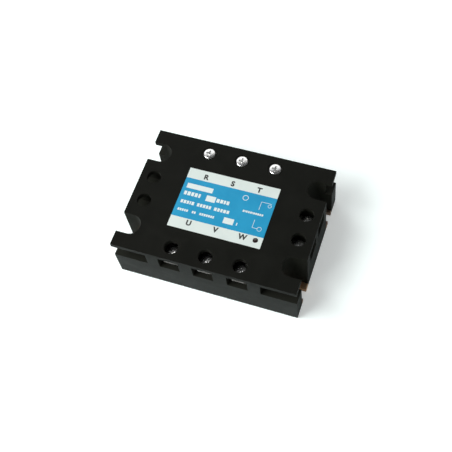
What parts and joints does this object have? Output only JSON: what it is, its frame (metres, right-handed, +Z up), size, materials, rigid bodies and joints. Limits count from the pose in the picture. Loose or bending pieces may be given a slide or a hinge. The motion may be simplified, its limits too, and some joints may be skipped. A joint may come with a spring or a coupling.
{
  "type": "solid state relay",
  "caption": "Black three-phase solid state relay block with screw terminals in wells, open wire windows, a printed top label and a slotted copper heat-sink plate.",
  "frame": {"origin": "centre of the underside of the copper base plate", "axes": "+X along the long side, towards the two control terminals; +Y towards the line terminals; +Z up, out of the top face"},
  "size_m": [0.105, 0.077, 0.0328],
  "materials": {
    "housing_plastic": "black moulded thermoplastic with a fine matt texture, slightly worn at the edges",
    "copper_plate": "bare copper, lightly oxidised and rolled along its length",
    "label_film": null,
    "led_lens": "dark red tinted lens of an unlit indicator",
    "zinc_steel": "bright zinc-plated steel",
    "tinned_copper": "tin-plated copper strip",
    "nut_brass": "turned brass",
    "alumina": "white alumina ceramic",
    "silicon_chip": "passivated silicon with a dull metal top",
    "board_laminate": "green solder mask on glass-epoxy laminate",
    "package_epoxy": "black moulding compound",
    "capacitor_case": "ochre moulded film-capacitor case",
    "resistor_coat": "pale blue lacquer",
    "resin": "cured translucent silicone resin"
  },
  "bodies": {
    "relay": {"housing": "housing_plastic", "base_plate": "copper_plate", "label": "label_film", "status_led": "led_lens", "circuit_board": "board_laminate", "input_transistor": "package_epoxy", "potting_resin": "resin", "terminal_bar_r": "tinned_copper", "captive_nut_r": "nut_brass", "terminal_bar_s": "tinned_copper", "captive_nut_s": "nut_brass", "terminal_bar_t": "tinned_copper", "captive_nut_t": "nut_brass", "terminal_bar_u": "tinned_copper", "captive_nut_u": "nut_brass", "terminal_bar_v": "tinned_copper", "captive_nut_v": "nut_brass", "terminal_bar_w": "tinned_copper", "captive_nut_w": "nut_brass", "terminal_bar_control_minus": "tinned_copper", "captive_nut_control_minus": "nut_brass", "terminal_bar_control_plus": "tinned_copper", "captive_nut_control_plus": "nut_brass", "ceramic_substrate_1": "alumina", "thyristor_front_1": "silicon_chip", "thyristor_rear_1": "silicon_chip", "gate_header_1": "package_epoxy", "optocoupler_1": "package_epoxy", "snubber_resistor_1": "resistor_coat", "snubber_capacitor_1": "capacitor_case", "ceramic_substrate_2": "alumina", "thyristor_front_2": "silicon_chip", "thyristor_rear_2": "silicon_chip", "gate_header_2": "package_epoxy", "optocoupler_2": "package_epoxy", "snubber_resistor_2": "resistor_coat", "snubber_capacitor_2": "capacitor_case", "ceramic_substrate_3": "alumina", "thyristor_front_3": "silicon_chip", "thyristor_rear_3": "silicon_chip", "gate_header_3": "package_epoxy", "optocoupler_3": "package_epoxy", "snubber_resistor_3": "resistor_coat", "snubber_capacitor_3": "capacitor_case"},
    "clamp_r": {"clamp_plate_r": "zinc_steel"},
    "screw_r": {"screw_r": "zinc_steel"},
    "clamp_s": {"clamp_plate_s": "zinc_steel"},
    "screw_s": {"screw_s": "zinc_steel"},
    "clamp_t": {"clamp_plate_t": "zinc_steel"},
    "screw_t": {"screw_t": "zinc_steel"},
    "clamp_u": {"clamp_plate_u": "zinc_steel"},
    "screw_u": {"screw_u": "zinc_steel"},
    "clamp_v": {"clamp_plate_v": "zinc_steel"},
    "screw_v": {"screw_v": "zinc_steel"},
    "clamp_w": {"clamp_plate_w": "zinc_steel"},
    "screw_w": {"screw_w": "zinc_steel"},
    "clamp_control_minus": {"clamp_plate_control_minus": "zinc_steel"},
    "screw_control_minus": {"screw_control_minus": "zinc_steel"},
    "clamp_control_plus": {"clamp_plate_control_plus": "zinc_steel"},
    "screw_control_plus": {"screw_control_plus": "zinc_steel"}
  },
  "joints": [
    {"name": "clamp_r_lift", "type": "slide", "parent": "relay", "child": "clamp_r", "axis": [0, 0, 1], "range_m": [-0.0058, 0]},
    {"name": "screw_r_turn", "type": "hinge", "parent": "clamp_r", "child": "screw_r", "pos_m": [-0.0195, 0.031, 0.0294], "axis": [0, 0, 1], "range_deg": [-2983, 0]},
    {"name": "clamp_s_lift", "type": "slide", "parent": "relay", "child": "clamp_s", "axis": [0, 0, 1], "range_m": [-0.0058, 0]},
    {"name": "screw_s_turn", "type": "hinge", "parent": "clamp_s", "child": "screw_s", "pos_m": [0, 0.031, 0.0294], "axis": [0, 0, 1], "range_deg": [-2983, 0]},
    {"name": "clamp_t_lift", "type": "slide", "parent": "relay", "child": "clamp_t", "axis": [0, 0, 1], "range_m": [-0.0058, 0]},
    {"name": "screw_t_turn", "type": "hinge", "parent": "clamp_t", "child": "screw_t", "pos_m": [0.0195, 0.031, 0.0294], "axis": [0, 0, 1], "range_deg": [-2983, 0]},
    {"name": "clamp_u_lift", "type": "slide", "parent": "relay", "child": "clamp_u", "axis": [0, 0, 1], "range_m": [-0.0003, 0.0055]},
    {"name": "screw_u_turn", "type": "hinge", "parent": "clamp_u", "child": "screw_u", "pos_m": [-0.0195, -0.031, 0.0239], "axis": [0, 0, 1], "range_deg": [-155, 2829]},
    {"name": "clamp_v_lift", "type": "slide", "parent": "relay", "child": "clamp_v", "axis": [0, 0, 1], "range_m": [-0.0003, 0.0055]},
    {"name": "screw_v_turn", "type": "hinge", "parent": "clamp_v", "child": "screw_v", "pos_m": [0, -0.031, 0.0239], "axis": [0, 0, 1], "range_deg": [-155, 2829]},
    {"name": "clamp_w_lift", "type": "slide", "parent": "relay", "child": "clamp_w", "axis": [0, 0, 1], "range_m": [-0.0003, 0.0055]},
    {"name": "screw_w_turn", "type": "hinge", "parent": "clamp_w", "child": "screw_w", "pos_m": [0.0195, -0.031, 0.0239], "axis": [0, 0, 1], "range_deg": [-155, 2829]},
    {"name": "clamp_control_minus_lift", "type": "slide", "parent": "relay", "child": "clamp_control_minus", "axis": [0, 0, 1], "range_m": [-0.0003, 0.0055]},
    {"name": "screw_control_minus_turn", "type": "hinge", "parent": "clamp_control_minus", "child": "screw_control_minus", "pos_m": [0.0445, -0.0077, 0.0239], "axis": [0, 0, 1], "range_deg": [-180, 3301]},
    {"name": "clamp_control_plus_lift", "type": "slide", "parent": "relay", "child": "clamp_control_plus", "axis": [0, 0, 1], "range_m": [-0.0003, 0.0055]},
    {"name": "screw_control_plus_turn", "type": "hinge", "parent": "clamp_control_plus", "child": "screw_control_plus", "pos_m": [0.0445, 0.0077, 0.0239], "axis": [0, 0, 1], "range_deg": [-180, 3301]}
  ],
  "couplings": [
    {"joint": "screw_r_turn", "follows": "clamp_r_lift", "rad_per_m": 8976},
    {"joint": "screw_s_turn", "follows": "clamp_s_lift", "rad_per_m": 8976},
    {"joint": "screw_t_turn", "follows": "clamp_t_lift", "rad_per_m": 8976},
    {"joint": "screw_u_turn", "follows": "clamp_u_lift", "rad_per_m": 8976},
    {"joint": "screw_v_turn", "follows": "clamp_v_lift", "rad_per_m": 8976},
    {"joint": "screw_w_turn", "follows": "clamp_w_lift", "rad_per_m": 8976},
    {"joint": "screw_control_minus_turn", "follows": "clamp_control_minus_lift", "rad_per_m": 10472},
    {"joint": "screw_control_plus_turn", "follows": "clamp_control_plus_lift", "rad_per_m": 10472}
  ]
}
